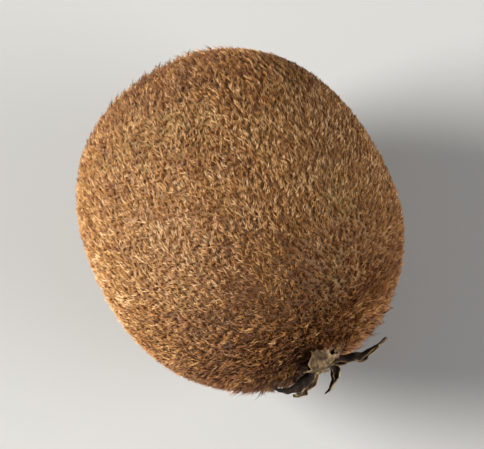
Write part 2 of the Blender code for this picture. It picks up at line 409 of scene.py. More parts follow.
lifting = add(tree, "ShaderNodeCombineXYZ", {"Z": given["Axis height"]})
standing = add(
    tree, "ShaderNodeVectorMath", {0: lumped, 1: pressing, 2: lifting}, operation="MULTIPLY_ADD"
)
formed = add(tree, "GeometryNodeSetPosition", {"Geometry": cube, "Position": standing})

# %% Geometry Nodes: dents, puckers, socket and flat spot
here = add(tree, "GeometryNodeInputPosition")
x, y, z = add(tree, "ShaderNodeSeparateXYZ", {0: here}).outputs
WIDE_DENT = 9 * MM
SMALL_DENT = 2.2 * MM
PUCKERS = 23.0  # round each end
wide_dents = add(tree, "ShaderNodeTexNoise", {"Vector": here, "Scale": 1 / WIDE_DENT, "Detail": 1.0})
small_dents = add(tree, "ShaderNodeTexNoise", {"Vector": here, "Scale": 1 / SMALL_DENT, "Detail": 1.0})
wide = add(tree, "ShaderNodeMapRange", {"Value": wide_dents, "To Min": -1.0, "To Max": 1.0})
small = add(tree, "ShaderNodeMapRange", {"Value": small_dents, "To Min": -0.35, "To Max": 0.35})
dent_height = chain(tree, "ShaderNodeMath", wide, ("ADD", small), ("MULTIPLY", given["Dent"]))
above_axis = add(tree, "ShaderNodeMath", {0: z, 1: given["Axis height"]}, operation="SUBTRACT")
off_end = add(tree, "ShaderNodeMath", {0: x}, operation="ABSOLUTE")
near_end = add(
    tree, "ShaderNodeMapRange",
    {"Value": off_end, "From Min": 22.5 * MM, "From Max": 26 * MM},
    interpolation_type="SMOOTHSTEP",
)
off_floor = add(
    tree, "ShaderNodeMapRange",
    {"Value": z, "From Min": 0.0, "From Max": 2.5 * MM},
    interpolation_type="SMOOTHSTEP",
)
# The puckers are a wave of the bearing round the axis, which the wide dents bend.
relief = chain(
    tree, "ShaderNodeMath", above_axis, ("ARCTAN2", y),
    ("MULTIPLY_ADD", PUCKERS, wide), ("SINE",), ("MULTIPLY", near_end),
    ("MULTIPLY_ADD", given["Pucker"], dent_height), ("MULTIPLY", off_floor),
)
facing = add(tree, "GeometryNodeInputNormal")
push = add(tree, "ShaderNodeVectorMath", {0: facing, "Scale": relief}, operation="SCALE")
dented = add(tree, "GeometryNodeSetPosition", {"Geometry": formed, "Offset": push})
side_square = add(tree, "ShaderNodeMath", {0: y, 1: 2.0}, operation="POWER")
from_axis = chain(tree, "ShaderNodeMath", above_axis, ("POWER", 2.0), ("ADD", side_square), ("SQRT",))
socket_share = add(
    tree, "ShaderNodeMapRange",
    {"Value": from_axis, "From Min": given["Socket radius"], "From Max": given["Socket floor"]},
    interpolation_type="SMOOTHSTEP",
)
by_stem = add(tree, "ShaderNodeMath", {0: x, 1: 0.0}, operation="GREATER_THAN")
back = chain(
    tree, "ShaderNodeMath", socket_share, ("MULTIPLY", by_stem),
    ("MULTIPLY", given["Socket depth"]), ("MULTIPLY", -1.0),
)
inwards = add(tree, "ShaderNodeCombineXYZ", {"X": back})
socketed = add(tree, "GeometryNodeSetPosition", {"Geometry": dented, "Offset": inwards})
last = add(tree, "GeometryNodeInputPosition")
pressed = add(tree, "ShaderNodeVectorMath", {0: last, 1: (-1.0, -1.0, 0.0)}, operation="MAXIMUM")
resting = add(tree, "GeometryNodeSetPosition", {"Geometry": socketed, "Position": pressed})
rounded = add(tree, "GeometryNodeSetShadeSmooth", {"Geometry": resting, "Shade Smooth": True})
coloured = add(tree, "GeometryNodeSetMaterial", {"Geometry": rounded, "Material": given["Skin"]})
add(tree, "NodeGroupOutput", {"Geometry": coloured})

# %% Grow the skin
skin = grown(
    "skin",
    tree,
    bpy.data.meshes.new("nothing"),
    {
        "Cuts": 64,
        "Half width": HALF_WIDTH,
        "Stem half": STEM_HALF,
        "Blossom half": BLOSSOM_HALF,
        "Stem fullness": STEM_FULLNESS,
        "Blossom fullness": BLOSSOM_FULLNESS,
        "Flatness": FLATNESS,
        "Axis height": AXIS_HEIGHT,
        "Calm radius": CALM_RADIUS,
        "Socket radius": 4.3 * MM,
        "Socket floor": 3.0 * MM,
        "Socket depth": 1.6 * MM,
        "Dent": 0.11 * MM,
        "Pucker": 0.10 * MM,
        "Skin": cork,
    },
)
xs, ys, zs = zip(*(vert.co for vert in skin.data.vertices))
print("skin box in mm:", [round(f(c) / MM, 2) for f in (min, max) for c in (xs, ys, zs)])

# %% [markdown]
# ## The calyx: scar and sepals
#
# Where the stalk broke off there is a woody ring with a pit in it, and round it the five sepals of the
# flower, dead for months. They are as thin and stiff as old leaves, curled and torn at the rim. Their
# inner faces, and both faces of three blades, are dark brown painted almost black as shade. Their edges
# are straw-coloured, partly bleached and partly a painted highlight. One has rolled up into a dark
# spike.
#
# The scar is a turned shape, so its half outline is spun round the axis, and noise makes the ring
# uneven. A sepal is grown row by row from the ring: each row bends, sweeps and twists a little further
# than the one before and is rolled up across, from the same numbers that shaped the solid. Then it is
# crumpled. A grid of rows can be as ragged and crinkled as it has to be, which a smooth curve can't.

# %% Sizes of the calyx
SCAR_RADIUS = 3.6 * MM
SCAR_HEIGHT = 1.5 * MM
SEPAL_ROOT = 2.9 * MM
SEPAL_RISE = 0.62 * MM  # the sepals grow from the ring this high over the fruit's end


class Sepal(NamedTuple):
    """Angles in degrees. Bearing is from +Y towards the underside, and sweep adds to it at the tip.

    The blade leaves its root at the first slope, bends towards the second and ends at the third: 90
    stands straight off the fruit's end. Roll is how far each half curls over, below zero towards the
    skin. A small taper narrows the blade early.
    """

    bearing: float
    length: float
    half_width: float
    slopes: tuple
    roll: float
    twist: float
    sweep: float
    taper: float
    # a dark blade takes the inner face, painted nearly black as shade, on both its faces
    dark: bool


SEPALS = (
    Sepal(2, 9.2 * MM, 2.3 * MM, (42, 0, -10), 150, -35, 0, 0.60, True),
    Sepal(60, 6.2 * MM, 1.15 * MM, (42, 42, 30), 105, -10, 125, 3.0, True),
    Sepal(148, 5.4 * MM, 1.7 * MM, (38, 24, -6), 95, 20, 8, 2.0, False),
    Sepal(196, 6.8 * MM, 2.4 * MM, (44, 4, -44), 165, -60, -6, 1.4, True),
    Sepal(270, 9.2 * MM, 3.2 * MM, (82, -24, -60), -38, 6, 0, 2.6, False),
)
SEPAL_THICKNESS = 0.22 * MM
SEPAL_CLEARANCE = 0.3 * MM  # between a blade and the skin
NARROWEST = 0.22  # of a blade's half width, at its tip
STEM_PLACE = Matrix.Translation((STEM_HALF, 0, AXIS_HEIGHT)) @ Matrix.Rotation(math.pi / 2, 4, "Y")
BLOSSOM_PLACE = Matrix.Translation((-BLOSSOM_HALF, 0, AXIS_HEIGHT)) @ Matrix.Rotation(
    -math.pi / 2, 4, "Y"
)


# %% Helpers for shapes made one by one
def piece_from(name, shape, surface, place):
    """An object at the origin, with the shape put in its place and given its surface."""
    shape.transform(place)
    mesh = bpy.data.meshes.new(name)
    shape.to_mesh(mesh)
    shape.free()
    mesh.materials.append(surface)
    mesh.shade_smooth()
    piece = bpy.data.objects.new(name, mesh)
    bpy.context.scene.collection.objects.link(piece)
    return piece


def between(points, steps):
    """The points of an outline, with this many straight steps along each of its sides."""
    fine = []
    for first, second in zip(points, points[1:]):
        fine += [Vector(first).lerp(Vector(second), step / steps) for step in range(steps)]
    return fine + [Vector(points[-1])]


def spun(profile, sides):
    """A closed shape: the outline, which starts and ends on the axis, spun round Z."""
    shape = bmesh.new()
    rings = []
    for radius, height in profile:
        if radius < 1e-7:
            rings.append([shape.verts.new((0, 0, height))])
            continue
        angles = [2 * math.pi * side / sides for side in range(sides)]
        rings.append(
            [shape.verts.new((radius * math.cos(a), radius * math.sin(a), height)) for a in angles]
        )
    for low, high in zip(rings, rings[1:]):
        for side in range(sides):
            after = (side + 1) % sides
            corners = [low[side % len(low)], low[after % len(low)]]
            corners += [high[after % len(high)], high[side % len(high)]]
            shape.faces.new(list(dict.fromkeys(corners)))
    bmesh.ops.recalc_face_normals(shape, faces=shape.faces)
    return shape


# %% Material: the stalk's woody scar
# Bare wood fibre: tan on the raised ring, olive inside it and darker again at its foot. Down in the pit
# its dark brown is painted nearly black as shade.
wood, tree, shader = new_material("broken stalk wood", 0.85)
place = add(tree, "ShaderNodeTexCoord").outputs["Object"]
centred = add(
    tree, "ShaderNodeMapping",
    {"Vector": place, "Location": (0, 0, -AXIS_HEIGHT), "Scale": (0, 1, 1 / FLATNESS)},
)
from_axis = add(tree, "ShaderNodeVectorMath", {0: centred}, operation="LENGTH")
fibres = add(tree, "ShaderNodeTexNoise", {"Vector": place, "Scale": 1 / (0.6 * MM), "Detail": 5.0})
wander = add(tree, "ShaderNodeMath", {0: fibres, 1: 1.4 * MM, 2: from_axis}, operation="MULTIPLY_ADD")
ring_share = add(
    tree, "ShaderNodeMapRange",
    {"Value": wander, "From Min": 0.7 * MM, "From Max": 5.0 * MM},
)
# The near-black stops at the pit are painted shade over the wood's own dark brown.
ring_stops_painted_pit_shade = (
    (0.00, "#1c120a"),
    (0.16, "#3a2a16"),
    (0.34, "#7b6a3e"),
    (0.56, "#8a7247"),
    (0.74, "#a98259"),
    (0.92, "#4a3118"),
)
ring_tones_painted_pit_shade = add(tree, "ShaderNodeValToRGB", {"Fac": ring_share}, ring_stops_painted_pit_shade)
speck_stops = ((0.35, "#6b5340"), (0.60, "#ffffff"))
specks = add(tree, "ShaderNodeValToRGB", {"Fac": fibres}, speck_stops)
specked_painted_pit_shade = add(tree, "ShaderNodeMix", {"Factor": 0.75, "A": ring_tones_painted_pit_shade, "B": specks}, **DARKEN)
cover(tree, shader, specked_painted_pit_shade, fibres, depth=0.12 * MM, strength=1.0)

# %% Make the scar
outline = [
    (0, -0.9 * MM),
    (4.2 * MM, -0.9 * MM),
    (4.2 * MM, 0.05 * MM),
    (SCAR_RADIUS, 0.40 * SCAR_HEIGHT),
    (0.92 * SCAR_RADIUS, 0.85 * SCAR_HEIGHT),
    (0.84 * SCAR_RADIUS, SCAR_HEIGHT),
    (0.70 * SCAR_RADIUS, 0.92 * SCAR_HEIGHT),
    (0.56 * SCAR_RADIUS, 0.45 * SCAR_HEIGHT),
    (1.1 * MM, 0.35 * SCAR_HEIGHT),
    (0.9 * MM, -0.3 * MM),
    (0, -0.4 * MM),
]
shape = spun(between(outline, 4), 84)
for vert in shape.verts:
    ridge = noise.noise(vert.co / (0.8 * MM)) + 0.6 * noise.noise(vert.co / (0.3 * MM))
    swell = noise.noise(Vector((vert.co.x, vert.co.y, 0)) / (2.6 * MM))
    vert.co.z += (0.14 * ridge + 0.30 * swell) * MM * (vert.co.z > -0.5 * MM)
    vert.co.xy *= 1 + 0.035 * noise.noise(vert.co / (1.1 * MM))
    vert.co.x *= FLATNESS
scar = piece_from("stalk_scar", shape, wood, STEM_PLACE)
print("stalk scar has", len(scar.data.polygons), "faces")

# %% Materials: the two faces and the rim of a dried sepal
# Dead leaf, papery and without shine. Its back keeps a grey olive felt. Its inner face is dark brown,
# painted nearly black as shade, and its torn rim is pale straw, partly bleached and partly a painted
# highlight.
def leaf_material(name, tones, vein_code, roughness):
    """A leaf surface: tones in blotches of a millimetre, crossed by veins that run along the blade."""
    leaf, tree, shader = new_material(name, roughness)
    shader.inputs["Specular IOR Level"].default_value = 0.2
    blade = add(tree, "ShaderNodeUVMap", uv_map="blade")
    parts = add(tree, "ShaderNodeSeparateXYZ", {0: blade})
    place = add(tree, "ShaderNodeTexCoord").outputs["Object"]
    mottle = add(tree, "ShaderNodeTexNoise", {"Vector": place, "Scale": 1 / (1.1 * MM), "Detail": 5.0})
    # Each face pales towards the blade's edges, partly a bleached margin and partly a painted highlight.
    edge_paling_painted_highlight = chain(
        tree, "ShaderNodeMath", parts.outputs["X"], ("SUBTRACT", 0.5), ("ABSOLUTE",),
        ("MULTIPLY", 2.0), ("POWER", 4.0), ("MULTIPLY_ADD", 0.35, mottle),
    )
    own_tones = add(tree, "ShaderNodeValToRGB", {"Fac": edge_paling_painted_highlight}, tones)
    stretched = add(tree, "ShaderNodeMapping", {"Vector": blade, "Scale": (10.0, 1.6, 1.0)})
    veins = add(
        tree, "ShaderNodeTexNoise",
        {"Vector": stretched, "Scale": 1.0, "Detail": 4.0, "Distortion": 0.7},
    )
    vein_stops = ((0.38, vein_code), (0.60, "#ffffff"))
    vein_shade = add(tree, "ShaderNodeValToRGB", {"Fac": veins}, vein_stops)
    veined = add(tree, "ShaderNodeMix", {"Factor": 0.65, "A": own_tones, "B": vein_shade}, **DARKEN)
    cover(tree, shader, veined, veins, depth=0.10 * MM, strength=1.0)
    return leaf


# The inner face's own dark brown is painted down to nearly black as shade.
inner_painted_shade_stops = ((0.35, "#0f0905"), (0.52, "#1e130b"), (0.66, "#362618"), (0.86, "#8c7752"))
leaf_inner_painted_shade = leaf_material("dried sepal inner face with painted shade", inner_painted_shade_stops, "#8a7460", 0.85)
back_stops = ((0.32, "#302418"), (0.45, "#4f3e2b"), (0.58, "#69563d"), (0.90, "#927959"))
leaf_back = leaf_material("dried sepal felted back", back_stops, "#8d7e6c", 0.90)
# The rim is pale straw, partly bleached and partly a painted highlight.
rim_painted_highlight_stops = ((0.68, "#33261a"), (0.84, "#7a6346"), (1.00, "#b9a078"))
leaf_rim_painted_highlight = leaf_material("dried sepal pale rim with painted highlight", rim_painted_highlight_stops, "#a89a86", 0.80)


# %% Helpers that grow one sepal
def skin_height(place):
    """How high the skin is at this place by the stem end. The end's tip is at height zero."""
    radius = math.hypot(place.x / FLATNESS, place.y)
    share = (radius / HALF_WIDTH) ** STEM_FULLNESS
    return STEM_HALF * ((1 - share) ** (1 / STEM_FULLNESS) - 1)


def blade_slope(sepal, share):
    """The blade's slope, this share of the way from its root to its tip."""
    root, half_way, tip = sepal.slopes
    blend = root * (1 - share) ** 2 + 2 * half_way * share * (1 - share) + tip * share**2
    return math.radians(blend)


def crumpled(place, share):
    """How far a dried blade has shrunk out of its smooth form here: wide folds and fine ones."""
    folds = 0.55 * MM * noise.noise_vector(place / (2.1 * MM))
    wrinkles = 0.18 * MM * noise.noise_vector(place / (0.8 * MM))
    return (folds + wrinkles) * min(1, 3 * share)


FELTED_BLADE, PAINTED_DARK_BLADE = 0, 3  # the first of a blade's three surfaces


def grow_sepal(shape, sepal, rows, columns):
    """Adds one sepal as a rolled, crumpled, ragged sheet, with a UV map called blade on it."""
    layer = shape.loops.layers.uv.get("blade") or shape.loops.layers.uv.new("blade")
    bearing = math.radians(sepal.bearing)
    roll = math.radians(sepal.roll)
    outwards = Vector((math.sin(bearing), math.cos(bearing), 0))
    sideways = Vector((math.cos(bearing), -math.sin(bearing), 0))
    up = Vector((0, 0, 1))
    spine = SEPAL_ROOT * outwards + SEPAL_RISE * up
    stride = sepal.length / rows
    grid = []
    for row in range(rows + 1):
        share = row / rows
        pitch = blade_slope(sepal, share)
        swept = Matrix.Rotation(-math.radians(sepal.sweep) * share**0.5, 3, "Z")
        forward = swept @ outwards
        normal = math.cos(pitch) * up - math.sin(pitch) * forward
        along = math.cos(pitch) * forward + math.sin(pitch) * up
        turn = Matrix.Rotation(math.radians(sepal.twist) * share, 3, along)
        width = sepal.half_width * max(NARROWEST, (1 - share**sepal.taper) ** 0.6)
        line = []
        for column in range(columns + 1):
            side = 2 * column / columns - 1
            rim_place = Vector((sepal.bearing, side, row * stride / (1.7 * MM)))
            torn = noise.noise(rim_place) + 0.4 * noise.noise(2.3 * rim_place)
            around = side * roll
            radius = width * (1 + 0.34 * torn * side * side) / roll
            across = radius * math.sin(around) * (swept @ sideways)
            lift = radius * (1 - math.cos(around)) * normal
            tip_place = Vector((3 * side, sepal.bearing, 0))
            ragged_tip = 0.8 * MM * share**6 * noise.noise(tip_place) * along
            place = spine + turn @ (across + lift) + ragged_tip
            place += crumpled(place, share)
            place.z = max(place.z, skin_height(place) + SEPAL_CLEARANCE)
            line.append(shape.verts.new(place))
        grid.append(line)
        spine = spine + stride * along
    for row in range(rows):
        for column in range(columns):
            corners = ((row, column), (row, column + 1), (row + 1, column + 1), (row + 1, column))
            face = shape.faces.new([grid[r][c] for r, c in corners])
            face.material_index = PAINTED_DARK_BLADE if sepal.dark else FELTED_BLADE
            for loop, (r, c) in zip(face.loops, corners):
                loop[layer].uv = (c / columns, r / rows)


# %% Grow the sepals
CRUMPLE_SEED = 7  # the solid's own seed, so that both are crumpled alike
noise.seed_set(CRUMPLE_SEED)
shape = bmesh.new()
for sepal in SEPALS:
    grow_sepal(shape, sepal, rows=34, columns=18)
sepals = piece_from("dried_sepals", shape, leaf_back, STEM_PLACE)
# Each blade takes three surfaces in a row: its upper face, its lower face and its rim.
# A dark blade takes the inner face's painted shade on its upper face as well.
for surface in (leaf_inner_painted_shade, leaf_rim_painted_highlight, leaf_inner_painted_shade, leaf_inner_painted_shade, leaf_rim_painted_highlight):
    sepals.data.materials.append(surface)
leaf_wall = sepals.modifiers.new("leaf thickness", "SOLIDIFY")
leaf_wall.thickness = SEPAL_THICKNESS
leaf_wall.offset = 0
leaf_wall.use_quality_normals = True
leaf_wall.material_offset = 1
leaf_wall.material_offset_rim = 2
print("five sepals of", [round(sepal.length / MM, 1) for sepal in SEPALS], "mm")

# %% [markdown]
# ## The style crown
#
# At the other end is what is left of the flower: a small hard boss, and on it a tuft of stiff dark
# threads, the styles. They stand in a spiral, each a golden angle round from the last, upright in the
# middle and splayed at the rim. That is a rule, so a tree does it: it puts one point per style on the
# spiral, tips it outwards, and places a bent, tapered thread on it.

# %% Material: dried style
# Woody threads, dry and brittle: dark brown, paler and more yellow towards their broken tips.
thread, tree, shader = new_material("dried style thread", 0.7)
length_map = add(tree, "ShaderNodeUVMap", uv_map="thread")
length_parts = add(tree, "ShaderNodeSeparateXYZ", {0: length_map})
place = add(tree, "ShaderNodeTexCoord").outputs["Object"]
patches = add(tree, "ShaderNodeTexNoise", {"Vector": place, "Scale": 1 / (0.7 * MM), "Detail": 4.0})
weathered = add(
    tree, "ShaderNodeMath", {0: length_parts.outputs["Y"], 1: 0.5, 2: patches}, operation="MULTIPLY_ADD"
)
thread_stops = ((0.35, "#1d120a"), (0.60, "#3f2b18"), (0.85, "#6d5133"), (1.0, "#9b7a50"))
thread_tones = add(tree, "ShaderNodeValToRGB", {"Fac": weathered}, thread_stops)
cover(tree, shader, thread_tones, patches, depth=0.08 * MM, strength=0.9)


# %% Helper that adds one tapered strand
def add_strand(shape, layer, path, radii, sides, u_range, v_of):
    """A tapered strand along path, open at its root. Its last point is its tip. v runs from root to tip.
    """
    rings = []
    for index, point in enumerate(path[:-1]):
        forward = (path[index + 1] - path[max(index - 1, 0)]).normalized()
        side_way = forward.cross(Vector((0.3, 0.1, 1))).normalized()
        up_way = forward.cross(side_way)
        ring = []
        for side in range(sides):
            angle = 2 * math.pi * side / sides
            spoke = math.cos(angle) * side_way + math.sin(angle) * up_way
            ring.append(shape.verts.new(point + radii[index] * spoke))
        rings.append(ring)
    tip = shape.verts.new(path[-1])
    low_u, high_u = u_range
    for level in range(len(rings)):
        for side in range(sides):
            after = (side + 1) % sides
            corners = [(rings[level][side], side, level), (rings[level][after], side + 1, level)]
            if level + 1 < len(rings):
                corners.append((rings[level + 1][after], side + 1, level + 1))
                corners.append((rings[level + 1][side], side, level + 1))
            else:
                corners.append((tip, side + 0.5, level + 1))
            face = shape.faces.new([vert for vert, _, _ in corners])
            for loop, (_, across_side, at_level) in zip(face.loops, corners):
                u = low_u + (high_u - low_u) * across_side / sides
                loop[layer].uv = (u, v_of[at_level])


# %% The threads and the boss that the tree works with
def helper_object(name, shape):
    """A mesh that a tree copies, kept out of the scene."""
    mesh = bpy.data.meshes.new(name)
    shape.to_mesh(mesh)
    shape.free()
    mesh.shade_smooth()
    return bpy.data.objects.new(name, mesh)


def bent_thread(seed):
    """A dried style of unit height, leaning over at its tip, with a small broken knob there."""
    rng = random.Random(seed)
    shape = bmesh.new()
    layer = shape.loops.layers.uv.new("thread")
    bend = rng.uniform(0.2, 0.45)
    sway = rng.uniform(-0.12, 0.12)
    path = []
    for step in range(8):
        share = step / 7
        path.append(Vector((bend * share**2, sway * math.sin(4 * share), share)) * MM)
    taper = [radius * MM for radius in (0.13, 0.115, 0.10, 0.09, 0.08, 0.075, 0.10)]
    add_strand(shape, layer, path, taper, 6, (0, 1), [step / 7 for step in range(8)])
    return helper_object(f"thread_{seed}", shape)


threads = bpy.data.collections.new("threads")
for seed in range(5):
    threads.objects.link(bent_thread(seed))

BOSS_RADIUS = 2.6 * MM
outline = [
    (0, -0.7 * MM),
    (BOSS_RADIUS, -0.7 * MM),
    (BOSS_RADIUS, 0.05 * MM),
    (0.85 * BOSS_RADIUS, 0.5 * MM),
    (0.45 * BOSS_RADIUS, 0.75 * MM),
    (0, 0.8 * MM),
]
shape = spun(between(outline, 4), 60)
shape.loops.layers.uv.new("thread")
for vert in shape.verts:
    knobbly = noise.noise(vert.co / (0.7 * MM)) + 0.5 * noise.noise(vert.co / (0.3 * MM))
    vert.co.z += 0.16 * MM * knobbly * (vert.co.z > -0.5 * MM)
boss_mesh = bpy.data.meshes.new("boss")
shape.to_mesh(boss_mesh)
shape.free()
boss_mesh.shade_smooth()
print("five threads and a boss with", len(boss_mesh.polygons), "faces")

# %% Geometry Nodes: a spiral of styles
tree, given = new_tree(
    "style spiral",
    Int=("Count", "Seed"),
    Float=("Boss radius", "Shortest", "Longest"),
    Collection=("Threads",),
    Material=("Surface",),
)
GOLDEN_ANGLE = math.radians(137.5)
index = add(tree, "GeometryNodeInputIndex")
place_share = add(tree, "ShaderNodeMath", {0: index, 1: given["Count"]}, operation="DIVIDE")
spiral_radius = chain(
    tree, "ShaderNodeMath", place_share, ("SQRT",), ("MULTIPLY", given["Boss radius"])
)
spiral_angle = add(tree, "ShaderNodeMath", {0: index, 1: GOLDEN_ANGLE}, operation="MULTIPLY")
cosine = add(tree, "ShaderNodeMath", {0: spiral_angle}, operation="COSINE")
sine = add(tree, "ShaderNodeMath", {0: spiral_angle}, operation="SINE")
spoke = add(tree, "ShaderNodeCombineXYZ", {"X": cosine, "Y": sine})
spiral_place = add(tree, "ShaderNodeVectorMath", {0: spoke, "Scale": spiral_radius}, operation="SCALE")
raised_place = add(
    tree, "ShaderNodeVectorMath", {0: spiral_place, 1: (0, 0, 0.3 * MM)}, operation="ADD"
)
points = add(tree, "GeometryNodePoints", {"Count": given["Count"], "Position": raised_place})
tip_out = add(
    tree, "ShaderNodeMapRange",
    {"Value": place_share, "To Min": math.radians(6), "To Max": math.radians(52)},
)
jitter = add(
    tree, "FunctionNodeRandomValue",
    {"Min": -0.22, "Max": 0.22, "Seed": given["Seed"]},
    data_type="FLOAT",
)
tipped = add(tree, "ShaderNodeMath", {0: tip_out, 1: jitter}, operation="ADD")
angles = add(tree, "ShaderNodeCombineXYZ", {"Y": tipped, "Z": spiral_angle})
turned = add(tree, "FunctionNodeEulerToRotation", {0: angles})
tallness = add(
    tree, "FunctionNodeRandomValue",
    {"Min": given["Shortest"], "Max": given["Longest"], "Seed": given["Seed"]},
    data_type="FLOAT",
)
in_millimetres = add(tree, "ShaderNodeMath", {0: tallness, 1: 1 / MM}, operation="MULTIPLY")
THREAD_GIRTH = 1.6  # times the girth that the five threads were made with
size = add(tree, "ShaderNodeCombineXYZ", {"X": THREAD_GIRTH, "Y": THREAD_GIRTH, "Z": in_millimetres})
variants = add(
    tree, "GeometryNodeCollectionInfo", {"Collection": given["Threads"], "Separate Children": True}
)
placed = add(
    tree, "GeometryNodeInstanceOnPoints",
    {"Points": points, "Instance": variants, "Pick Instance": True, "Rotation": turned, "Scale": size},
)
realized = add(tree, "GeometryNodeRealizeInstances", {"Geometry": placed})
together = add(tree, "GeometryNodeJoinGeometry", {"Geometry": given["Geometry"]})
feed(tree, together, {"Geometry": realized})
surfaced = add(tree, "GeometryNodeSetMaterial", {"Geometry": together, "Material": given["Surface"]})
put_there = add(
    tree, "GeometryNodeTransform",
    {
        "Geometry": surfaced,
        "Translation": BLOSSOM_PLACE.translation,
        "Rotation": BLOSSOM_PLACE.to_euler(),
    },
)
add(tree, "NodeGroupOutput", {"Geometry": put_there})

# %% Grow the style crown
crown = grown(
    "dried_styles",
    tree,
    boss_mesh,
    {
        "Count": 34,
        "Boss radius": 0.74 * BOSS_RADIUS,
        "Shortest": 1.7 * MM,
        "Longest": 2.9 * MM,
        "Seed": 4,
        "Threads": threads,
        "Surface": thread,
    },
)

# %% [markdown]
# ## The bristles
#
# The coat is what makes the fruit: stiff brown bristles between one and two millimetres long. They lean
# towards the blossom end and bend over at their tips, and they stick together in little clumps. Between
# them is a short dark down. Particle hair would be quick to make, but it isn't mesh and wouldn't leave
# Blender. So a few clumps are made one by one, each of five or six three-sided strands, and a tree
# plants
# thousands of them on the skin: evenly spaced, leaning with the grain, each turned and sized at random.
# Longer ones stand round both ends. All of them grow taller towards the scar and darker there, partly
# their own deeper brown and partly painted shade. A little painted shade darkens them towards the styles
# as well.
#
# The colour is painted in a UV map rather than in space. Its u picks the bristle's own brown and its v
# runs from root to tip, and painted shade darkens every bristle at its root and leaves its end bright.

# %% Material: bristle
# A dead hair: a stiff hollow thread of its own brown, with a faint satin shine. Painted shade dulls it
# at its root, and its tip is left golden.
bristle, tree, shader = new_material("dry golden bristle", 0.36)
shader.inputs["Specular IOR Level"].default_value = 0.28
hair_map = add(tree, "ShaderNodeUVMap", uv_map="OFBake")
hair_parts = add(tree, "ShaderNodeSeparateXYZ", {0: hair_map})
hair_stops = (
    (0.00, "#3d200d"),
    (0.30, "#7b4b22"),
    (0.55, "#ac7c43"),
    (0.80, "#d9b381"),
    (1.00, "#f3e1c6"),
)
own_brown = add(tree, "ShaderNodeValToRGB", {"Fac": hair_parts.outputs["X"]}, hair_stops)
# Painted shade: every bristle is darkened towards its root, down in the coat where it is shaded.
painted_root_shade_stops = ((0.00, "#a08a76"), (0.45, "#e6dfd8"), (1.00, "#ffffff"))
painted_root_shade = add(tree, "ShaderNodeValToRGB", {"Fac": hair_parts.outputs["Y"]}, painted_root_shade_stops)
brown_with_painted_root_shade = add(tree, "ShaderNodeMix", {"Factor": 1.0, "A": own_brown, "B": painted_root_shade}, **DARKEN)
feed(tree, shader, {"Base Color": brown_with_painted_root_shade})


# %% Make the clumps
def clump(seed, count, spread, lengths, leans, radius, fan):
    """Bristles that grow from one patch of skin. They lean to +X, with fan degrees to either side.

    Each stretch of a bristle leans from upright by a number of degrees between its two of the leans.
    """
    rng = random.Random(seed)
    shape = bmesh.new()
    layer = shape.loops.layers.uv.new("strand")
    for _ in range(count):
        angle = rng.uniform(0, 2 * math.pi)
        offset = spread * math.sqrt(rng.random())
        point = Vector((offset * math.cos(angle), offset * math.sin(angle), -0.12 * MM))
        heading = math.radians(rng.uniform(-fan, fan))
        length = rng.uniform(*lengths)
        path = [point]
        for lean in leans:
            from_up = math.radians(rng.uniform(*lean))
            flat = math.sin(from_up)
            step = Vector((flat * math.cos(heading), flat * math.sin(heading), math.cos(from_up)))
            path.append(path[-1] + length / len(leans) * step)
            heading += math.radians(rng.uniform(-18, 18))
        own_tone = rng.uniform(0, 0.20)
        places = [bend / len(leans) for bend in range(len(leans) + 1)]
        radii = [radius, 0.8 * radius]
        add_strand(shape, layer, path, radii, 3, (own_tone, own_tone + 0.05), places)
    top = max(vert.co.z for vert in shape.verts)
    return helper_object(f"clump_{seed}", shape), top


def clump_family(name, *kinds):
    """A collection of clumps. Each kind is its seeds, and the sizes that clump takes after a seed."""
    family = bpy.data.collections.new(name)
    tallest = 0.0
    for seeds, *sizes in kinds:
        for seed in seeds:
            made, top = clump(seed, *sizes)
            family.objects.link(made)
            tallest = max(tallest, top)
    print(name, "clumps stand up to", round(tallest / MM, 2), "mm")
    return family


# Most bristles lie down along the grain. Every third clump or so stands up more, which keeps the coat
# from looking combed.
BRISTLE_RADIUS = 0.085 * MM
clumps = clump_family(
    "bristle",
    (range(0, 9), 5, 0.26 * MM, (1.1 * MM, 1.8 * MM), ((38, 54), (66, 86)), BRISTLE_RADIUS, 26),
    (range(9, 14), 5, 0.26 * MM, (1.1 * MM, 1.5 * MM), ((18, 40), (48, 66)), BRISTLE_RADIUS, 40),
)
down = clump_family(
    "down",
    (range(50, 58), 6, 0.45 * MM, (0.5 * MM, 0.8 * MM), ((30, 75),), 0.06 * MM, 70),
)
long_bristles = clump_family(
    "long bristle",
    (range(70, 78), 5, 0.22 * MM, (1.9 * MM, 3.0 * MM), ((25, 50), (52, 80)), 0.08 * MM, 26),
)

# %% Geometry Nodes: planting the clumps
tree, given = new_tree(
    "planted bristles",
    Int=("Seed", "Shares", "Share"),
    Float=(
        "Spacing", "Smallest", "Largest", "Spin", "Darkest", "Lightest",
        "Nearest the ends", "Clearance", "Bare by styles", "Bare by scar",
    ),
    Collection=("Clumps",),
    Object=("Scar", "Sepals", "Crown"),
    Material=("Bristle",),
)
candidates = chain(tree, "ShaderNodeMath", given["Spacing"], ("POWER", -2.0), ("MULTIPLY", 5.0))
planted = add(
    tree, "GeometryNodeDistributePointsOnFaces",
    {
        "Mesh": given["Geometry"],
        "Distance Min": given["Spacing"],
        "Density Max": candidates,
        "Seed": given["Seed"],
    },
    distribute_method="POISSON",
)
here = add(tree, "GeometryNodeInputPosition")
x, y, z = add(tree, "ShaderNodeSeparateXYZ", {0: here}).outputs
index = add(tree, "GeometryNodeInputIndex")
mine = chain(
    tree, "ShaderNodeMath", index, ("MODULO", given["Shares"]), ("COMPARE", given["Share"], 0.5)
)
off_floor = add(tree, "ShaderNodeMath", {0: z, 1: 0.15 * MM}, operation="GREATER_THAN")
mid_length = (STEM_HALF - BLOSSOM_HALF) / 2
in_zone = chain(
    tree, "ShaderNodeMath", x, ("SUBTRACT", mid_length),
    ("ABSOLUTE",), ("GREATER_THAN", given["Nearest the ends"]),
)
nearest = None
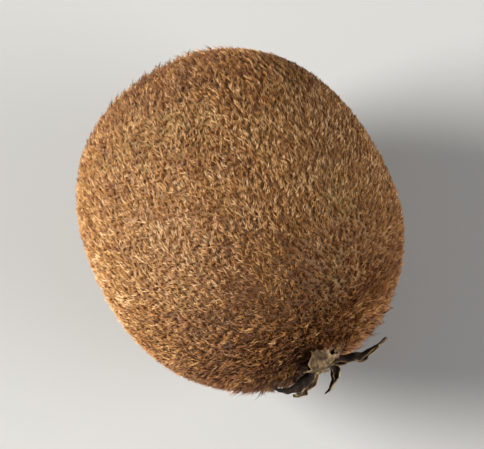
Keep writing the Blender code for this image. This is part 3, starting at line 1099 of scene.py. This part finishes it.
for neighbour in ("Scar", "Sepals", "Crown"):
    other = add(tree, "GeometryNodeObjectInfo", {"Object": given[neighbour]})
    gap = add(tree, "GeometryNodeProximity", {"Geometry": other.outputs["Geometry"]})
    if nearest is None:
        nearest = gap.outputs["Distance"]
    else:
        nearest = add(
            tree, "ShaderNodeMath", {0: nearest, 1: gap.outputs["Distance"]}, operation="MINIMUM"
        )
clear = add(tree, "ShaderNodeMath", {0: nearest, 1: given["Clearance"]}, operation="GREATER_THAN")
from_axis = chain(
    tree, "ShaderNodeVectorMath", here, ("ADD", (0, 0, -AXIS_HEIGHT)),
    ("MULTIPLY", (0, 1, 1)), ("LENGTH",),
)
bare = add(
    tree, "ShaderNodeMapRange",
    {
        "Value": x,
        "From Min": -1 * MM,
        "From Max": 1 * MM,
        "To Min": given["Bare by styles"],
        "To Max": given["Bare by scar"],
    },
)
off_plug = add(tree, "ShaderNodeMath", {0: from_axis, 1: bare}, operation="GREATER_THAN")
rooted = chain(
    tree, "ShaderNodeMath", mine, ("MULTIPLY", in_zone), ("MULTIPLY", off_floor),
    ("MULTIPLY", clear), ("MULTIPLY", off_plug),
)

# %% Geometry Nodes: lean, size and brown of each clump
SWIRL = 10 * MM
PATCH = 7 * MM
swirl = add(tree, "ShaderNodeTexNoise", {"Vector": here, "Scale": 1 / SWIRL, "Detail": 2.0})
grain = chain(
    tree, "ShaderNodeVectorMath", swirl.outputs["Color"], ("SUBTRACT", (0.5, 0.5, 0.5)),
    ("MULTIPLY_ADD", (1.5, 1.5, 1.5), (-1, 0, 0)),
)
leaning = add(
    tree, "FunctionNodeAlignRotationToVector",
    {"Rotation": planted.outputs["Rotation"], "Vector": grain},
    axis="X", pivot_axis="Z",
)
less_spin = add(tree, "ShaderNodeMath", {0: given["Spin"], 1: -1.0}, operation="MULTIPLY")
drawn = []
for number, (low, high) in enumerate(
    (
        (less_spin, given["Spin"]),
        (given["Smallest"], given["Largest"]),
        (given["Darkest"], given["Lightest"]),
    )
):
    seed = add(tree, "ShaderNodeMath", {0: given["Seed"], 1: float(number)}, operation="ADD")
    drawn.append(
        add(tree, "FunctionNodeRandomValue", {"Min": low, "Max": high, "Seed": seed}, data_type="FLOAT")
    )
spin, own_size, own_tone = drawn
spin_angles = add(tree, "ShaderNodeCombineXYZ", {"Z": spin})
spin_turn = add(tree, "FunctionNodeEulerToRotation", {0: spin_angles})
turned = add(
    tree, "FunctionNodeRotateRotation",
    {"Rotation": leaning, "Rotate By": spin_turn},
    rotation_space="LOCAL",
)
room = add(
    tree, "ShaderNodeMapRange",
    {"Value": nearest, "From Min": 0.2 * MM, "From Max": 1.2 * MM, "To Min": 0.5, "To Max": 1.0},
)
by_stem = add(
    tree, "ShaderNodeMapRange",
    {"Value": x, "From Min": 18 * MM, "From Max": 26 * MM, "To Min": 1.0, "To Max": 1.4},
)
final_size = chain(tree, "ShaderNodeMath", own_size, ("MULTIPLY", room), ("MULTIPLY", by_stem))
patch = add(tree, "ShaderNodeTexNoise", {"Vector": here, "Scale": 1 / PATCH, "Detail": 3.0})
patch_tone = add(tree, "ShaderNodeMapRange", {"Value": patch, "To Min": -0.24, "To Max": 0.24})
tone = add(tree, "ShaderNodeMath", {0: own_tone, 1: patch_tone}, operation="ADD")
# Darker towards the scar: partly the bristles' own deeper brown, partly painted shade. Darker towards
# the styles: painted shade only.
for start, end, shade in ((6 * MM, 24 * MM, -0.38), (-4 * MM, -24 * MM, -0.20)):
    end_darkening_with_painted_shade = add(
        tree, "ShaderNodeMapRange",
        {"Value": x, "From Min": start, "From Max": end, "To Min": 0.0, "To Max": shade},
    )
    tone = add(tree, "ShaderNodeMath", {0: tone, 1: end_darkening_with_painted_shade}, operation="ADD", use_clamp=True)

# %% Geometry Nodes: the coat as plain mesh
toned = add(
    tree, "GeometryNodeStoreNamedAttribute",
    {"Geometry": planted, "Name": "tone", "Value": tone},
    data_type="FLOAT", domain="POINT",
)
variants = add(
    tree, "GeometryNodeCollectionInfo", {"Collection": given["Clumps"], "Separate Children": True}
)
coat = add(
    tree, "GeometryNodeInstanceOnPoints",
    {
        "Points": toned,
        "Selection": rooted,
        "Instance": variants,
        "Pick Instance": True,
        "Rotation": turned,
        "Scale": final_size,
    },
)
realized = add(tree, "GeometryNodeRealizeInstances", {"Geometry": coat})
strand_map = add(tree, "GeometryNodeInputNamedAttribute", {"Name": "strand"}, data_type="FLOAT_VECTOR")
strand_parts = add(tree, "ShaderNodeSeparateXYZ", {0: strand_map})
kept_tone = add(tree, "GeometryNodeInputNamedAttribute", {"Name": "tone"}, data_type="FLOAT")
u = add(
    tree, "ShaderNodeMath",
    {0: kept_tone, 1: 0.75, 2: strand_parts.outputs["X"]},
    operation="MULTIPLY_ADD",
)
uv = add(tree, "ShaderNodeCombineXYZ", {"X": u, "Y": strand_parts.outputs["Y"]})
mapped = add(
    tree, "GeometryNodeStoreNamedAttribute",
    {"Geometry": realized, "Name": "OFBake", "Value": uv},
    data_type="FLOAT2", domain="CORNER",
)
without_strand = add(tree, "GeometryNodeRemoveAttribute", {"Geometry": mapped, "Name": "strand"})
without_tone = add(tree, "GeometryNodeRemoveAttribute", {"Geometry": without_strand, "Name": "tone"})
last = add(tree, "GeometryNodeInputPosition")
pressed = add(tree, "ShaderNodeVectorMath", {0: last, 1: (-1.0, -1.0, 0.02 * MM)}, operation="MAXIMUM")
resting = add(tree, "GeometryNodeSetPosition", {"Geometry": without_tone, "Position": pressed})
surfaced = add(tree, "GeometryNodeSetMaterial", {"Geometry": resting, "Material": given["Bristle"]})
add(tree, "NodeGroupOutput", {"Geometry": surfaced})

# %% Grow the coat
# One coat of bristles would have too many faces for one piece, so it is dealt out to four. Down and long
# bristles are a piece each. A coat's row holds its name, its number of shares and then its own sizes.
SIZES = (
    "Spacing", "Seed", "Smallest", "Largest", "Spin", "Darkest", "Lightest",
    "Nearest the ends", "Clearance", "Clumps",
)
COATS = (
    ("bristles", 4, 0.60 * MM, 3, 0.75, 1.08, math.radians(38), 0.30, 0.86, 0.0, 0.35 * MM, clumps),
    ("short_down", 1, 0.85 * MM, 8, 0.7, 1.0, math.radians(180), 0.12, 0.62, 0.0, 0.25 * MM, down),
    (
        "long_bristles", 1, 1.15 * MM, 12, 0.6, 1.0, math.radians(60), 0.10, 1.0,
        24.6 * MM, 0.6 * MM, long_bristles,
    ),
)
shared = {
    "Bare by styles": 2.6 * MM,
    "Bare by scar": 4.1 * MM,
    "Scar": scar,
    "Sepals": sepals,
    "Crown": crown,
    "Bristle": bristle,
}
coats = []
for name, shares, *own_sizes in COATS:
    for share in range(shares):
        piece_name = f"{name}_{share + 1}" if shares > 1 else name
        values = {**dict(zip(SIZES, own_sizes)), **shared, "Shares": shares, "Share": share}
        coats.append(grown(piece_name, tree, skin.data.copy(), values))

# %% [markdown]
# ## Handing the pieces over
#
# Each new piece rides on the fruit's one body. The solids that the new pieces stand for are hidden,
# which leaves them to the physics. The corners of the dressed model's box are compared with the CAD
# model's, and the change is printed.

# %% Ride, replace and finish
for piece, slot in (
    (skin, "skin"),
    (scar, "dried_sepal"),
    (sepals, "dried_sepal"),
    (crown, "dried_style"),
):
    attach(piece, "root")
for piece in coats:
    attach(piece, "root")
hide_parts("fruit")
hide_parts("calyx")
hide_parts("calyx")
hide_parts("style_crown")
for helpers in (clumps, down, long_bristles, threads):
    for helper in list(helpers.objects):
        bpy.data.objects.remove(helper)
    bpy.data.collections.remove(helpers)

final_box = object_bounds()
for low_or_high in (0, 1):
    change = final_box[low_or_high] - cad_box[low_or_high]
    print("box corner moved by", [round(c / MM, 2) for c in change], "mm")
